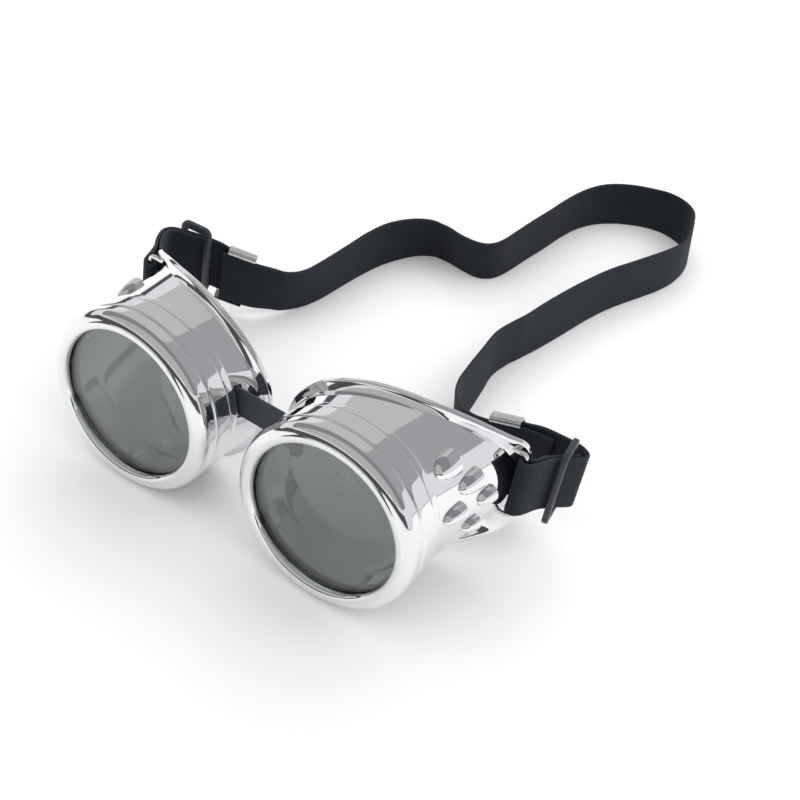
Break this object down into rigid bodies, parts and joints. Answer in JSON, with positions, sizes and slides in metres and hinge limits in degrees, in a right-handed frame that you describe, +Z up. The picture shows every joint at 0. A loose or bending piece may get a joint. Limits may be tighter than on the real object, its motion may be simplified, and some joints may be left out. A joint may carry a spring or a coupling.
{
  "type": "welding goggles",
  "caption": "Round welding goggles: two vented chrome eyecups with screw-on lens rings and tinted lenses, a flexible nose strip and an adjustable elastic head strap.",
  "frame": {"origin": "bottom centre of the bounding box, on the surface the goggles stand on", "axes": "+X is the wearer's left, -Y is the way the wearer looks, +Z is up"},
  "size_m": [0.1746, 0.3022, 0.0602],
  "materials": {
    "chrome": "polished",
    "clear_lens": "polished",
    "filter_glass": "polished",
    "gasket_rubber": "matte",
    "webbing": "matte",
    "bridge_strap": "satin",
    "slider_plastic": "satin",
    "clip_steel": "satin"
  },
  "bodies": {
    "right_cup": {"eyecup_right": "chrome", "side_strap_right": "webbing", "strap_clip_right": "clip_steel", "bridge_clip_right": "clip_steel", "nose_bridge": "bridge_strap", "head_strap": "webbing"},
    "left_cup": {"eyecup_left": "chrome", "side_strap_left": "webbing", "strap_clip_left": "clip_steel", "bridge_clip_left": "clip_steel"},
    "right_lenses": {"cover_lens_right": "clear_lens", "filter_lens_right": "filter_glass", "lens_gasket_right": "gasket_rubber"},
    "right_ring": {"lens_ring_right": "chrome"},
    "right_slider": {"strap_slider_right": "slider_plastic"},
    "left_lenses": {"cover_lens_left": "clear_lens", "filter_lens_left": "filter_glass", "lens_gasket_left": "gasket_rubber"},
    "left_ring": {"lens_ring_left": "chrome"},
    "left_slider": {"strap_slider_left": "slider_plastic"}
  },
  "joints": [
    {"name": "bridge_flex", "type": "hinge", "parent": "right_cup", "child": "left_cup", "pos_m": [0.0049, -0.13222, 0.0365], "axis": [0, 0, 1], "range_deg": [-20, 20], "deforming": ["nose_bridge", "head_strap"]},
    {"name": "right_lens_slide", "type": "slide", "parent": "right_cup", "child": "right_lenses", "axis": [0, -1, 0], "range_m": [0, 0.00305]},
    {"name": "right_ring_turn", "type": "hinge", "parent": "right_lenses", "child": "right_ring", "pos_m": [-0.0307, -0.14982, 0.0295], "axis": [0, -1, 0], "range_deg": [0, 720]},
    {"name": "left_lens_slide", "type": "slide", "parent": "left_cup", "child": "left_lenses", "axis": [0, -1, 0], "range_m": [0, 0.00305]},
    {"name": "left_ring_turn", "type": "hinge", "parent": "left_lenses", "child": "left_ring", "pos_m": [0.0405, -0.14982, 0.0295], "axis": [0, -1, 0], "range_deg": [0, 720]},
    {"name": "right_slider_slide", "type": "slide", "parent": "right_cup", "child": "right_slider", "axis": [0.75, 0.6116, -0.2516], "range_m": [-0.0015, 0.0025]},
    {"name": "left_slider_slide", "type": "slide", "parent": "left_cup", "child": "left_slider", "axis": [0.4903, 0.8492, -0.1961], "range_m": [-0.0008, 0.0015]}
  ],
  "couplings": [
    {"joint": "right_lens_slide", "follows": "right_ring_turn", "m_per_rad": 0.0002387},
    {"joint": "left_lens_slide", "follows": "left_ring_turn", "m_per_rad": 0.0002387}
  ]
}
